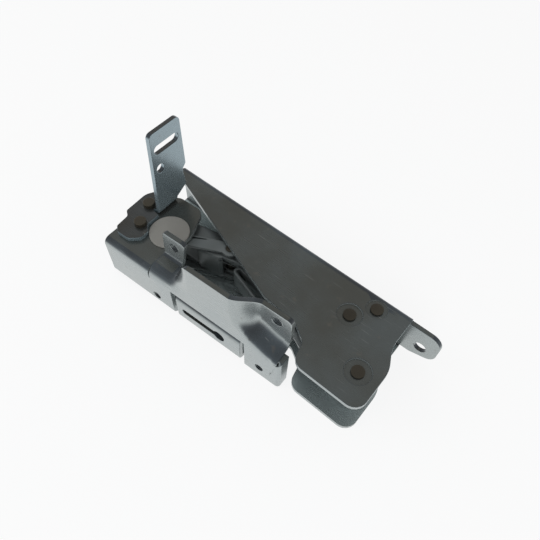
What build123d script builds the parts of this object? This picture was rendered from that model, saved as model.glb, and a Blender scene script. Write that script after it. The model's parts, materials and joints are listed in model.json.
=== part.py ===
"""Fridge door hinge: a seven-joint hinge of folded sheet, lying on its flat side, nearly closed."""

import math
import os

from build123d import *

os.makedirs("parts", exist_ok=True)

# Sheets, folds and fits, in millimetres
sheet = 2.0
bend_radius = 3.0
edge_radius = 0.3
running_fit = 0.05
level_gap = 0.3

# Housing: a channel that is open to the front
housing_length = 120.0
housing_depth = 43.8
housing_height = 22.0

# Outline of the housing's plates. Insets count back from the web's pin end, depths from the web.
open_end_depth = 5.5
shoulder_inset = 48.0
shoulder_depth = 29.6
throat_inset = 32.0
throat_depth = 31.0
flank_inset = 25.2
flank_depth = 35.2
lobe_inset = 23.3
lobe_overhang = 4.3
lobe_corner = 5.0
front_corners = (1.0, 8.0, 4.0, 4.0)
waist_depths = (27.6, 18.9, 11.9)
waist_overhang = 1.5

# Screw ear at the end of the web
ear_reach = 13.7
ear_top = 19.4
ear_tip_bottom = 6.0
ear_hole_reach = 7.0
ear_hole_height = 9.4
ear_hole_radius = 2.5
ear_corner = 5.0

# Pins
pin_radius = 2.5
pin_neck = 2.0
recess_radius = 5.0
recess_depth = 0.5
door_head_height = 2.0

# Pivots on the housing: inset from the pin end, and depth
main_pivot_inset = 4.0
main_pivot_depth = 31.6
link_pivot_inset = 12.5
link_pivot_depth = 6.4
stop_pin_inset = 19.0
stop_pin_depth = 14.9

# Pivots of the arms as the hinge lies closed: reach from the open end or inset from the pin end, and depth
crossing_reach = 59.63
crossing_depth = 16.18
link_end_reach = 46.16
link_end_depth = 20
door_link_eye_reach = 12.27
door_link_eye_depth = 37.34
door_link_play = 0.35
arm_end_inset = 14.58
arm_end_depth = 36.88
arm_end_eye_inset = 14.31
arm_end_eye_depth = 37.89
arm_end_play = 1.13

# Door bracket, turned a little against the housing
door_turn = 3.24
door_depth = 52.0
door_left = 3.0
door_end_inset = 28.5
door_fold_end = 27.0
fold_slit = 0.4
arm_pivot = (5.9, -28.4)
link_pivot = (10.4, -37.85)
middle_left = 45.5
middle_end_inset = 20.0
middle_top = 42.0
notch_left = 38.6
notch_end_inset = 16.5
notch_top = 17.0
flange_depth = 5.0

# Outline of the door bracket's plates, behind its face
lobe_right = 29.7
lobe_shoulder = 29.0
lobe_back_right = 24.6
lobe_back_left = 12.0
lobe_back = 16.0
lobe_left = 0.8
lobe_left_back = 23.6
lobe_left_front = 34.0
lobe_neck = 41.0
lobe_corners = [0.5, 0.5, 0.5, 0.8, 9.0, 5.0, 5.0, 5.0, 3.0, 3.0]

# Screw ears of the door bracket
left_ear_right = 39.5
left_ear_setback = 12.0
left_ear_ledge = 23.0
left_ear_top = 36.0
left_ear_bend = 5.0
left_ear_hole = (33.8, 30.5)
right_ear_width = 14.6
right_ear_end_inset = 1.9
right_ear_setback = 10.0
right_ear_top = 36.4
right_ear_hole_inset = 8.1
right_ear_hole_height = 31.4
right_ear_bend = 3.2
bracket_hole_radius = 2.3
crease_radius = 1.5
shelf_top = 20.6
scoop_top = 28.5
scoop_foot_inset = 12.5
middle_bend = 5.0
front_hole_left = (29.4, 5.4)
front_hole_inset = 9.4
front_hole_height = 5.8
front_hole_radius = 2.0

# Adjusting slide in the notch
slide_end_gap = 2.2
slide_depth = 9.0
slide_fold = 2.5
slide_slot_left = 46.5
slide_slot_inset = 10.5
slide_slot_height = 8.5
slide_slot_width = 3.6
slide_hole_radius = 3.2

# Panel bracket with its tall tab
panel_eye = 5.0
panel_foot = 5.5
panel_foot_offset = 2.0
tab_face = 12.4
tab_front = 26.4
tab_back = 10.8
tab_top = 61.8
tab_fold_front = 28.7
tab_fold_back = 18.0
tab_slot_drop = 8.0
tab_slot_length = 12.8
tab_slot_width = 4.0
tab_notch = 36.7
tab_step = 2.0
tab_hole = (-23.8, 45.0)
tab_hole_radius = 2.0
tab_corners = [0.3, 0.3, 1.0, 0.5, 0.5, 0.5, 2.0, 2.0]

# Grey disc on the door bracket
disc_center = (21.5, -33.1)
disc_radius = 8.2
disc_thickness = 0.8

# Arms and links
link_sheet = 1.5
link_eye = 4.0
link_pivot_eye = 3.7
link_half_width = 2.8
housing_link_half_width = 2.0
link_end_eye = 3.4
arm_sheet = 2.0
arm_half_width = 5.0
arm_eye = 4.2
arm_end_radius = 3.5
wall_start = 16.5
wall_end = 27.0
wall_front = 6.0
wall_return = 1.2
wall_sheet = 1.5
slot_gap = 0.6
web_start = 16.0
web_end = 44.0
stud_radius = 1.6
spacer_radius = 3.5

# Closing spring
spring_sheet = 1.2
spring_bend = 1.7
spring_tip = 4.7
spring_offset = 7.4
spring_width = 3.8
spring_reach = 5.0
spring_length = 14.0

# Levels, from the base up. Each pair of plates lies as far from the base as from the top.
link_level = sheet + level_gap
door_arm_level = link_level + link_sheet + level_gap
main_arm_level = door_arm_level + arm_sheet + level_gap
inner_level = main_arm_level + arm_sheet

# Places worked out from the sizes above
corner = Vector(-housing_length / 2, housing_depth / 2, 0)
main_pivot = (housing_length - main_pivot_inset, -main_pivot_depth)
housing_link_pivot = (housing_length - link_pivot_inset, -link_pivot_depth)
stop_pin = (housing_length - stop_pin_inset, -stop_pin_depth)
crossing = (crossing_reach, -crossing_depth)
link_end = (link_end_reach, -link_end_depth)
door_link_eye = (door_link_eye_reach, -door_link_eye_depth)
arm_end = (housing_length - arm_end_inset, -arm_end_depth)
arm_end_eye = (housing_length - arm_end_eye_inset, -arm_end_eye_depth)
door_right = housing_length - door_end_inset
middle_right = door_right - middle_end_inset
notch_right = door_right - notch_end_inset
right_ear_right = door_right - right_ear_end_inset
right_ear_left = right_ear_right - right_ear_width
right_ear_hole = (door_right - right_ear_hole_inset, right_ear_hole_height)
scoop_foot = door_right - scoop_foot_inset
front_holes = (front_hole_left, (door_right - front_hole_inset, front_hole_height))
slide_slot_right = notch_right - slide_slot_inset
left_ear_back = door_depth - left_ear_setback
right_ear_back = door_depth - right_ear_setback
tab_slot_height = tab_top - tab_slot_drop
door_angle = math.radians(door_turn)
door_x = Vector(math.cos(door_angle), math.sin(door_angle), 0)
door_y = Vector(-math.sin(door_angle), math.cos(door_angle), 0)
door_front = Plane(origin=corner - door_y * door_depth, x_dir=door_x, z_dir=-door_y)
web_face = Plane(origin=corner, x_dir=(1, 0, 0), z_dir=(0, -1, 0))


def housing_plan(height):
    return Plane(origin=corner + Vector(0, 0, height))


def door_plan(height):
    return Plane(origin=corner + Vector(0, 0, height), x_dir=door_x, z_dir=(0, 0, 1))


def door_side(reach):
    return Plane(origin=corner + door_x * reach, x_dir=door_y, z_dir=door_x)


def in_housing(point):
    spot = door_x * point[0] + door_y * point[1]
    return (spot.X, spot.Y)


def along(start, end, height):
    first = corner + Vector(start[0], start[1], height)
    return Plane(origin=first, x_dir=Vector(end[0] - start[0], end[1] - start[1], 0), z_dir=(0, 0, 1))


def distance(start, end):
    return math.hypot(end[0] - start[0], end[1] - start[1])


def pair(level, thickness):
    return (level, housing_height - level - thickness)


door_arm_pivot = in_housing(arm_pivot)

# Housing, its plates cut to their outline
with BuildPart() as housing:
    with BuildSketch(Plane(origin=corner, x_dir=(0, 1, 0), z_dir=(1, 0, 0))):
        with BuildLine():
            back = FilletPolyline(
                (-housing_depth, housing_height),
                (0, housing_height),
                (0, 0),
                (-housing_depth, 0),
                radius=bend_radius,
            )
            offset(back, amount=sheet, side=Side.RIGHT)
        make_face()
    extrude(amount=housing_length + lobe_overhang)
    with BuildSketch(housing_plan(0)):
        with BuildLine():
            front = FilletPolyline(
                (0, 0),
                (0, -open_end_depth),
                (housing_length - shoulder_inset, -shoulder_depth),
                (housing_length - throat_inset, -throat_depth),
                (housing_length - flank_inset, -flank_depth),
                (housing_length - lobe_inset, -housing_depth),
                (housing_length + lobe_overhang, -housing_depth),
                (housing_length + lobe_overhang, -waist_depths[0]),
                radius=[*front_corners, lobe_corner, lobe_corner],
            )
            waist = Spline(
                front @ 1,
                (housing_length + waist_overhang, -waist_depths[1]),
                (housing_length, -waist_depths[2]),
                tangents=[(0, 1), (0, 1)],
            )
            Polyline(waist @ 1, (housing_length, 0), (0, 0))
        make_face()
    extrude(amount=housing_height, mode=Mode.INTERSECT)
    with BuildSketch(web_face):
        with BuildLine():
            Polyline(
                (housing_length - ear_reach / 2, bend_radius),
                (housing_length, sheet / 2),
                (housing_length + ear_reach, ear_tip_bottom),
                (housing_length + ear_reach, ear_top),
                (housing_length - ear_reach / 2, ear_top - edge_radius),
                close=True,
            )
        make_face()
        fillet(vertices().sort_by(Axis.X)[-2:], ear_corner)
        with Locations((housing_length + ear_hole_reach, ear_hole_height)):
            Circle(ear_hole_radius, mode=Mode.SUBTRACT)
    extrude(amount=sheet)
    with BuildSketch(housing_plan(0)):
        with Locations(main_pivot, housing_link_pivot, stop_pin):
            Circle(pin_neck + running_fit)
    extrude(amount=housing_height, mode=Mode.SUBTRACT)
    for recess_level in pair(0, recess_depth):
        with BuildSketch(housing_plan(recess_level)):
            with Locations(main_pivot, housing_link_pivot, stop_pin):
                Circle(recess_radius)
        extrude(amount=recess_depth, mode=Mode.SUBTRACT)
housing.part.label = "housing"
export_step(housing.part, "parts/housing.step")

# Pins of the housing, with necks in the plates and flat ends in the recesses
housing_pins = {
    "main_pivot_pin": main_pivot,
    "link_pivot_pin": housing_link_pivot,
    "stop_pin": stop_pin,
}
for name, spot in housing_pins.items():
    with BuildPart() as pin:
        with BuildSketch(housing_plan(sheet)):
            with Locations(spot):
                Circle(pin_radius)
        extrude(amount=housing_height - 2 * sheet)
        with BuildSketch(housing_plan(0)):
            with Locations(spot):
                Circle(pin_neck)
        extrude(amount=housing_height)
        for head_level in pair(0, recess_depth):
            with BuildSketch(housing_plan(head_level)):
                with Locations(spot):
                    Circle(pin_radius)
            extrude(amount=recess_depth)
    pin.part.label = name
    export_step(pin.part, f"parts/{name}.step")

# Washers beside the main arm on the main pivot
with BuildPart() as main_pivot_washers:
    for washer_level in pair(door_arm_level, arm_sheet):
        with BuildSketch(housing_plan(washer_level)):
            with Locations(main_pivot):
                Circle(spacer_radius)
                Circle(pin_radius + running_fit, mode=Mode.SUBTRACT)
        extrude(amount=arm_sheet)
main_pivot_washers.part.label = "main_pivot_washers"
export_step(main_pivot_washers.part, "parts/main_pivot_washers.step")

# Tube that carries the housing link
with BuildPart() as link_pivot_tube:
    with BuildSketch(housing_plan(sheet)):
        with Locations(housing_link_pivot):
            Circle(spacer_radius)
            Circle(pin_radius + running_fit, mode=Mode.SUBTRACT)
    extrude(amount=housing_height - door_arm_level - sheet)
link_pivot_tube.part.label = "link_pivot_tube"
export_step(link_pivot_tube.part, "parts/link_pivot_tube.step")

# Roller on the stop pin
with BuildPart() as stop_roller:
    with BuildSketch(housing_plan(door_arm_level)):
        with Locations(stop_pin):
            Circle(spacer_radius)
            Circle(pin_radius + running_fit, mode=Mode.SUBTRACT)
    extrude(amount=housing_height - 2 * door_arm_level)
stop_roller.part.label = "stop_roller"
export_step(stop_roller.part, "parts/stop_roller.step")

# Lower face of the door bracket, with its end flange
with BuildPart() as lower_face:
    with BuildSketch(door_plan(0)):
        with BuildLine():
            face_line = FilletPolyline(
                (door_left, -door_depth),
                (door_right, -door_depth),
                (door_right, -door_depth + flange_depth),
                radius=bend_radius,
            )
            offset(face_line, amount=sheet, side=Side.LEFT)
        make_face()
    extrude(amount=middle_top)
    with BuildSketch(door_front):
        with BuildLine():
            Polyline(
                (door_left, bend_radius),
                (door_fold_end, bend_radius),
                (door_fold_end, 0),
                (notch_left, 0),
                (notch_left, notch_top),
                (notch_right, notch_top),
                (notch_right, 0),
                (door_right, 0),
                (door_right, shelf_top - right_ear_bend),
                (scoop_foot, shelf_top - right_ear_bend),
                (middle_right, scoop_top),
                (middle_left, scoop_top),
                (middle_left, left_ear_ledge - left_ear_bend),
                (door_fold_end, left_ear_ledge - left_ear_bend),
                (door_fold_end, housing_height - bend_radius),
                (door_left, housing_height - bend_radius),
                close=True,
            )
        make_face()
    extrude(amount=-door_depth, mode=Mode.INTERSECT)

# Upper sheet of the door bracket: the middle, the wall that runs back from it and the right ear
with BuildPart() as upper_sheet:
    with BuildSketch(door_plan(shelf_top - sheet)):
        with BuildLine():
            middle_line = FilletPolyline(
                (middle_left, -door_depth),
                (middle_right, -door_depth),
                (right_ear_left, -right_ear_back - sheet),
                (right_ear_right, -right_ear_back - sheet),
                radius=[middle_bend, bend_radius],
            )
            offset(middle_line, amount=sheet, side=Side.LEFT)
        make_face()
    extrude(amount=middle_top)
    with BuildSketch(door_front):
        with BuildLine():
            FilletPolyline(
                (middle_left, 0),
                (right_ear_right, 0),
                (right_ear_right, right_ear_top),
                (right_ear_left, right_ear_top),
                (middle_right - sheet, middle_top),
                (middle_left, middle_top),
                radius=[edge_radius, bend_radius, bend_radius, bend_radius, crease_radius, edge_radius],
                close=True,
            )
        make_face()
    extrude(amount=-door_depth, mode=Mode.INTERSECT)

# Door bracket: two plates for the pins, the face, the middle and the two ears
with BuildPart() as door_bracket:
    with BuildSketch(door_side(0)):
        with BuildLine():
            fold_line = FilletPolyline(
                (0, housing_height),
                (-door_depth, housing_height),
                (-door_depth, 0),
                (0, 0),
                radius=bend_radius,
            )
            offset(fold_line, amount=sheet, side=Side.LEFT)
        make_face()
    extrude(amount=notch_left)
    with BuildSketch(door_plan(0)):
        with BuildLine():
            FilletPolyline(
                (door_left, -door_depth),
                (door_fold_end, -door_depth),
                (door_fold_end, -left_ear_back + level_gap),
                (lobe_right, -left_ear_back + sheet),
                (lobe_right, -lobe_shoulder),
                (lobe_back_right, -lobe_back),
                (lobe_back_left, -lobe_back),
                (lobe_left, -lobe_left_back),
                (lobe_left, -lobe_left_front),
                (door_left, -lobe_neck),
                radius=lobe_corners,
                close=True,
            )
        make_face()
    extrude(amount=housing_height, mode=Mode.INTERSECT)
    add(lower_face.part)
    add(upper_sheet.part)
    with BuildSketch(door_side(door_fold_end + fold_slit)):
        with BuildLine():
            left_ear_line = FilletPolyline(
                (-door_depth, notch_top),
                (-door_depth, left_ear_ledge),
                (-left_ear_back - sheet, left_ear_ledge),
                (-left_ear_back - sheet, left_ear_top),
                radius=[left_ear_bend, crease_radius],
            )
            offset(left_ear_line, amount=sheet, side=Side.RIGHT)
        make_face()
    extrude(amount=left_ear_right - door_fold_end - fold_slit)
    with BuildSketch(door_side(middle_right)):
        with BuildLine():
            shelf_line = FilletPolyline(
                (-door_depth, notch_top),
                (-door_depth, shelf_top),
                (-right_ear_back, shelf_top),
                radius=right_ear_bend,
            )
            offset(shelf_line, amount=sheet, side=Side.RIGHT)
        make_face()
    extrude(amount=right_ear_right - middle_right)
    with BuildSketch(door_front):
        with Locations(*front_holes):
            Circle(front_hole_radius)
        with Locations(left_ear_hole, right_ear_hole):
            Circle(bracket_hole_radius)
    extrude(amount=-door_depth, mode=Mode.SUBTRACT)
    with BuildSketch(door_plan(0)):
        with Locations(arm_pivot, link_pivot):
            Circle(pin_neck + running_fit)
    extrude(amount=housing_height, mode=Mode.SUBTRACT)
    with BuildSketch(door_plan(0)):
        with Locations(arm_pivot, link_pivot):
            Circle(pin_radius + running_fit)
    extrude(amount=recess_depth, mode=Mode.SUBTRACT)
door_bracket.part.label = "door_bracket"
export_step(door_bracket.part, "parts/door_bracket.step")

# Pins of the door bracket, whose heads stand up on the panel bracket
door_pins = {"door_arm_pin": arm_pivot, "door_link_pin": link_pivot}
for name, spot in door_pins.items():
    with BuildPart() as pin:
        with BuildSketch(door_plan(sheet)):
            with Locations(spot):
                Circle(pin_radius)
        extrude(amount=housing_height - 2 * sheet)
        with BuildSketch(door_plan(0)):
            with Locations(spot):
                Circle(pin_neck)
        extrude(amount=housing_height + sheet)
        with BuildSketch(door_plan(0)):
            with Locations(spot):
                Circle(pin_radius)
        extrude(amount=recess_depth)
        with BuildSketch(door_plan(housing_height + sheet)):
            with Locations(spot):
                Circle(pin_radius)
        extrude(amount=door_head_height)
        fillet(edges().group_by(Axis.Z)[-1], edge_radius)
    pin.part.label = name
    export_step(pin.part, f"parts/{name}.step")

# Washers beside the door arm, and tubes between the plates of the door arm and of the door link
with BuildPart() as door_arm_washers:
    for washer_level in (sheet, housing_height - door_arm_level + level_gap):
        with BuildSketch(door_plan(washer_level)):
            with Locations(arm_pivot):
                Circle(spacer_radius)
                Circle(pin_radius + running_fit, mode=Mode.SUBTRACT)
        extrude(amount=door_arm_level - level_gap - sheet)
door_arm_washers.part.label = "door_arm_washers"
export_step(door_arm_washers.part, "parts/door_arm_washers.step")

door_tubes = {
    "door_arm_tube": (arm_pivot, door_arm_level + arm_sheet + level_gap),
    "door_link_tube": (link_pivot, link_level + link_sheet + level_gap),
}
for name, (spot, tube_level) in door_tubes.items():
    with BuildPart() as tube:
        with BuildSketch(door_plan(tube_level)):
            with Locations(spot):
                Circle(spacer_radius)
                Circle(pin_radius + running_fit, mode=Mode.SUBTRACT)
        extrude(amount=housing_height - 2 * tube_level)
    tube.part.label = name
    export_step(tube.part, f"parts/{name}.step")

# Panel bracket: a plate on the door bracket and a tall tab
with BuildPart() as panel_bracket:
    with BuildSketch(door_plan(housing_height)):
        with Locations(arm_pivot):
            Circle(panel_eye)
        with Locations((link_pivot[0] - panel_foot_offset, link_pivot[1])):
            Circle(panel_foot)
        with Locations((tab_face - bend_radius, -(tab_fold_front + tab_fold_back) / 2)):
            Rectangle(sheet, tab_fold_front - tab_fold_back)
        make_hull()
    extrude(amount=sheet)
    tab_fold = Plane(
        origin=corner - door_y * tab_fold_front + Vector(0, 0, housing_height),
        x_dir=door_x,
        z_dir=-door_y,
    )
    with BuildSketch(tab_fold):
        with BuildLine():
            tab_line = FilletPolyline(
                (tab_face - 2 * bend_radius, 0),
                (tab_face, 0),
                (tab_face, 2 * bend_radius),
                radius=bend_radius,
            )
            offset(tab_line, amount=sheet, side=Side.LEFT)
        make_face()
    extrude(amount=tab_fold_back - tab_fold_front)
    with BuildSketch(door_side(tab_face - sheet)):
        with BuildLine():
            FilletPolyline(
                (-tab_fold_front, housing_height + bend_radius),
                (-tab_fold_back, housing_height + bend_radius),
                (-tab_back - tab_step / 2, housing_height + 2 * bend_radius),
                (-tab_back - tab_step, tab_notch - tab_step),
                (-tab_back - tab_step, tab_notch),
                (-tab_back, tab_notch + tab_step),
                (-tab_back, tab_top),
                (-tab_front, tab_top),
                radius=tab_corners,
                close=True,
            )
        make_face()
        with Locations((-(tab_front + tab_back) / 2 - level_gap, tab_slot_height)):
            SlotOverall(tab_slot_length, tab_slot_width, mode=Mode.SUBTRACT)
        with Locations(tab_hole):
            Circle(tab_hole_radius, mode=Mode.SUBTRACT)
    extrude(amount=sheet)
    with BuildSketch(door_plan(housing_height)):
        with Locations(arm_pivot, link_pivot):
            Circle(pin_neck + running_fit)
    extrude(amount=sheet, mode=Mode.SUBTRACT)
panel_bracket.part.label = "panel_bracket"
export_step(panel_bracket.part, "parts/panel_bracket.step")

# Grey disc that lies on the door bracket
with BuildPart() as cover_disc:
    with BuildSketch(door_plan(housing_height)):
        with Locations(disc_center):
            Circle(disc_radius)
    extrude(amount=disc_thickness)
    fillet(edges().group_by(Axis.Z)[-1], edge_radius)
cover_disc.part.label = "cover_disc"
export_step(cover_disc.part, "parts/cover_disc.step")

# Adjusting slide: an angle in the notch, with a keyhole slot
with BuildPart() as adjusting_slide:
    with BuildSketch(door_side(notch_left + slide_end_gap)):
        with BuildLine():
            slide_line = FilletPolyline(
                (-door_depth, level_gap),
                (-door_depth, notch_top - level_gap),
                (-door_depth + slide_depth, notch_top - level_gap),
                radius=slide_fold,
            )
            offset(slide_line, amount=sheet, side=Side.RIGHT)
        make_face()
    extrude(amount=notch_right - notch_left - 2 * slide_end_gap)
    with BuildSketch(door_front):
        with Locations(((slide_slot_left + slide_slot_right) / 2, slide_slot_height)):
            SlotCenterToCenter(slide_slot_right - slide_slot_left, slide_slot_width)
        with Locations((slide_slot_right, slide_slot_height)):
            Circle(slide_hole_radius)
    extrude(amount=-sheet, mode=Mode.SUBTRACT)
adjusting_slide.part.label = "adjusting_slide"
export_step(adjusting_slide.part, "parts/adjusting_slide.step")

# Main arm: two flanges from the main pivot to the crossing and the door link, with a back web
main_arm_axis = along(main_pivot, crossing, main_arm_level)
main_arm_height = housing_height - 2 * main_arm_level
with BuildPart() as main_arm:
    for flange_level in pair(main_arm_level, arm_sheet):
        with BuildSketch(housing_plan(flange_level)):
            with Locations(main_pivot):
                Circle(arm_half_width)
            with Locations(crossing):
                Circle(arm_eye)
            make_hull()
        extrude(amount=arm_sheet)
        with BuildSketch(housing_plan(flange_level)):
            with Locations(crossing):
                Circle(arm_eye)
            with Locations(link_end):
                Circle(link_end_eye)
            make_hull()
        extrude(amount=arm_sheet)
    with BuildSketch(main_arm_axis):
        with Locations(((web_start + web_end) / 2, -arm_eye + arm_sheet / 2)):
            Rectangle(web_end - web_start, arm_sheet)
    extrude(amount=main_arm_height)
    with BuildSketch(housing_plan(0)):
        with Locations(main_pivot, crossing, link_end):
            Circle(pin_radius + running_fit)
    extrude(amount=housing_height, mode=Mode.SUBTRACT)
main_arm.part.label = "main_arm"
export_step(main_arm.part, "parts/main_arm.step")

# Crossing pin, on which the door arm turns, and the tube between the main arm's flanges
with BuildPart() as crossing_pin:
    with BuildSketch(housing_plan(link_level)):
        with Locations(crossing):
            Circle(pin_radius)
    extrude(amount=housing_height - 2 * link_level)
    for head_level in pair(link_level, link_sheet):
        with BuildSketch(housing_plan(head_level)):
            with Locations(crossing):
                Circle(spacer_radius)
        extrude(amount=link_sheet)
crossing_pin.part.label = "crossing_pin"
export_step(crossing_pin.part, "parts/crossing_pin.step")

with BuildPart() as crossing_tube:
    with BuildSketch(housing_plan(inner_level)):
        with Locations(crossing):
            Circle(spacer_radius)
            Circle(pin_radius + running_fit, mode=Mode.SUBTRACT)
    extrude(amount=housing_height - 2 * inner_level)
crossing_tube.part.label = "crossing_tube"
export_step(crossing_tube.part, "parts/crossing_tube.step")

# Pin of the door link at the main arm, with thinner ends for the link's plates
with BuildPart() as link_end_pin:
    with BuildSketch(housing_plan(door_arm_level)):
        with Locations(link_end):
            Circle(pin_radius)
    extrude(amount=housing_height - 2 * door_arm_level)
    with BuildSketch(housing_plan(link_level)):
        with Locations(link_end):
            Circle(pin_neck)
    extrude(amount=housing_height - 2 * link_level)
link_end_pin.part.label = "link_end_pin"
export_step(link_end_pin.part, "parts/link_end_pin.step")

# Closing spring: a hairpin strip along the main arm's front edge
spring_axis = along(crossing, main_pivot, main_arm_level)
with BuildPart() as closing_spring:
    with BuildSketch(spring_axis):
        with BuildLine():
            spring_line = FilletPolyline(
                (spring_length, -spring_tip),
                (-spring_reach, -spring_offset),
                (-spring_reach, -spring_offset - spring_width),
                (spring_length, -spring_offset - spring_width),
                radius=spring_bend,
            )
            offset(spring_line, amount=spring_sheet, side=Side.LEFT)
        make_face()
    extrude(amount=main_arm_height)
closing_spring.part.label = "closing_spring"
export_step(closing_spring.part, "parts/closing_spring.step")

# Door arm: two flanges from the crossing to the door bracket, of which the upper one runs on to the
# housing link, and a front wall
door_arm_axis = along(crossing, door_arm_pivot, door_arm_level)
door_arm_top = housing_height - door_arm_level - arm_sheet
link_end_spot = door_arm_axis.to_local_coords(corner + Vector(link_end[0], link_end[1], door_arm_level))
with BuildPart() as door_arm:
    for flange_level in pair(door_arm_level, arm_sheet):
        with BuildSketch(housing_plan(flange_level)):
            with Locations(crossing, door_arm_pivot):
                Circle(arm_half_width)
            make_hull()
        extrude(amount=arm_sheet)
        with BuildSketch(door_arm_axis.offset(flange_level - door_arm_level)):
            with Locations(((wall_start + wall_end) / 2, wall_front / 2)):
                Rectangle(wall_end - wall_start, wall_front)
        extrude(amount=arm_sheet)
    with BuildSketch(housing_plan(door_arm_top)):
        with Locations(crossing, arm_end):
            Circle(arm_end_radius)
        make_hull()
    extrude(amount=arm_sheet)
    with BuildSketch(door_arm_axis):
        with BuildLine():
            wall_line = FilletPolyline(
                (wall_end, wall_front),
                (wall_start, wall_front),
                (wall_start - wall_return, wall_front - wall_return / 2),
                radius=crease_radius,
            )
            offset(wall_line, amount=wall_sheet, side=Side.LEFT)
        make_face()
    extrude(amount=housing_height - 2 * door_arm_level)
    with BuildSketch(door_arm_axis):
        with Locations((link_end_spot.X, link_end_spot.Y)):
            Circle(pin_radius + slot_gap)
        with Locations((link_end_spot.X, link_end_spot.Y - arm_half_width)):
            Rectangle(2 * (pin_radius + slot_gap), 2 * arm_half_width)
    extrude(amount=housing_height, mode=Mode.SUBTRACT)
    with BuildSketch(housing_plan(0)):
        with Locations(crossing, door_arm_pivot):
            Circle(pin_radius + running_fit)
        with Locations(arm_end):
            Circle(stud_radius + running_fit)
    extrude(amount=housing_height, mode=Mode.SUBTRACT)
door_arm.part.label = "door_arm"
export_step(door_arm.part, "parts/door_arm.step")

# Stud at the end of the door arm, which stands in the housing link's eye
with BuildPart() as arm_end_stud:
    with BuildSketch(housing_plan(door_arm_top)):
        with Locations(arm_end):
            Circle(stud_radius)
    extrude(amount=housing_height - link_level - door_arm_top)
arm_end_stud.part.label = "arm_end_stud"
export_step(arm_end_stud.part, "parts/arm_end_stud.step")

# Housing link: one plate under the housing's top, from its pivot to the end of the door arm
housing_link_length = distance(housing_link_pivot, arm_end_eye)
with BuildPart() as housing_link:
    with BuildSketch(along(housing_link_pivot, arm_end_eye, housing_height - link_level - link_sheet)):
        Circle(link_pivot_eye)
        with Locations((housing_link_length, 0)):
            Circle(link_eye)
        with Locations((housing_link_length / 2, 0)):
            Rectangle(housing_link_length, 2 * housing_link_half_width)
        Circle(pin_radius + running_fit, mode=Mode.SUBTRACT)
        with Locations((housing_link_length, 0)):
            Circle(stud_radius + arm_end_play, mode=Mode.SUBTRACT)
    extrude(amount=link_sheet)
housing_link.part.label = "housing_link"
export_step(housing_link.part, "parts/housing_link.step")

# Door link: two plates from the main arm to the door bracket
door_link_axis = along(link_end, door_link_eye, link_level)
door_link_length = distance(link_end, door_link_eye)
with BuildPart() as door_link:
    for plate_level in pair(link_level, link_sheet):
        with BuildSketch(door_link_axis.offset(plate_level - link_level)):
            Circle(link_eye)
            with Locations((door_link_length, 0)):
                Circle(link_eye)
            with Locations((door_link_length / 2, 0)):
                Rectangle(door_link_length, 2 * link_half_width)
            Circle(pin_neck + running_fit, mode=Mode.SUBTRACT)
            with Locations((door_link_length, 0)):
                Circle(pin_radius + door_link_play, mode=Mode.SUBTRACT)
        extrude(amount=link_sheet)
door_link.part.label = "door_link"
export_step(door_link.part, "parts/door_link.step")
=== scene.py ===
import json
import math
import bmesh
import bpy
from mathutils import Matrix, Vector
from mathutils.bvhtree import BVHTree


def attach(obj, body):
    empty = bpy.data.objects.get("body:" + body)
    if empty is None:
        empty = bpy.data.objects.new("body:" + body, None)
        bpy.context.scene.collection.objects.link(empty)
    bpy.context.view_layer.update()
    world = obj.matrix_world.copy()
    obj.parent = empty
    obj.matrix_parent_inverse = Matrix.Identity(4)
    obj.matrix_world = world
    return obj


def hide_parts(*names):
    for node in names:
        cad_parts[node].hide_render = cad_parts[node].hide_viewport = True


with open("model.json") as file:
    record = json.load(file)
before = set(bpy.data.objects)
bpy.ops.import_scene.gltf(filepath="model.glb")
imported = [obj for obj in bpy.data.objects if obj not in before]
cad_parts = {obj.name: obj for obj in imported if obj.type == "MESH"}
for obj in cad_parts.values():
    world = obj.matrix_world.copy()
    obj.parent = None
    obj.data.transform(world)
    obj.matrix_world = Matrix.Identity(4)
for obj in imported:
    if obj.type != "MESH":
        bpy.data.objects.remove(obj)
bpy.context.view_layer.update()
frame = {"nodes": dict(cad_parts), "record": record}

nodes = frame["nodes"]
mm = 0.001
print("hinge: frame loaded,", len(nodes), "nodes")


# node helpers: what feeds a slot is a number, a colour or the socket it comes from
def wire(tree, value, slot):
    if isinstance(value, bpy.types.NodeSocket):
        tree.links.new(value, slot)
    elif isinstance(value, tuple):
        slot.default_value = (*value, 1.0)
    else:
        slot.default_value = value


def mathNode(tree, operation, a, b=None, clamp=False):
    node = tree.nodes.new("ShaderNodeMath")
    node.operation = operation
    node.use_clamp = clamp
    wire(tree, a, node.inputs[0])
    if b is not None:
        wire(tree, b, node.inputs[1])
    return node.outputs[0]


def times(tree, a, b, clamp=False):
    return mathNode(tree, "MULTIPLY", a, b, clamp)


def plus(tree, a, b, clamp=False):
    return mathNode(tree, "ADD", a, b, clamp)


def rangeNode(tree, value, low, high, toLow=0.0, toHigh=1.0):
    node = tree.nodes.new("ShaderNodeMapRange")
    node.interpolation_type = "SMOOTHSTEP"
    ends = {"Value": value, "From Min": low, "From Max": high, "To Min": toLow, "To Max": toHigh}
    for name, number in ends.items():
        wire(tree, number, node.inputs[name])
    return node.outputs["Result"]


def mixColour(tree, factor, a, b, blend="MIX"):
    node = tree.nodes.new("ShaderNodeMix")
    node.data_type = "RGBA"
    node.blend_type = blend
    for index, value in ((0, factor), (6, a), (7, b)):
        wire(tree, value, node.inputs[index])
    return node.outputs[2]


def noiseNode(tree, vector, scale, detail=2.0, roughness=0.5):
    node = tree.nodes.new("ShaderNodeTexNoise")
    for name, value in (("Vector", vector), ("Scale", scale), ("Detail", detail), ("Roughness", roughness)):
        wire(tree, value, node.inputs[name])
    return node.outputs["Fac"]


def stretched(tree, vector, turn, scale):
    node = tree.nodes.new("ShaderNodeMapping")
    node.inputs["Rotation"].default_value = (0.0, 0.0, turn)
    node.inputs["Scale"].default_value = scale
    wire(tree, vector, node.inputs["Vector"])
    return node.outputs["Vector"]


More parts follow.
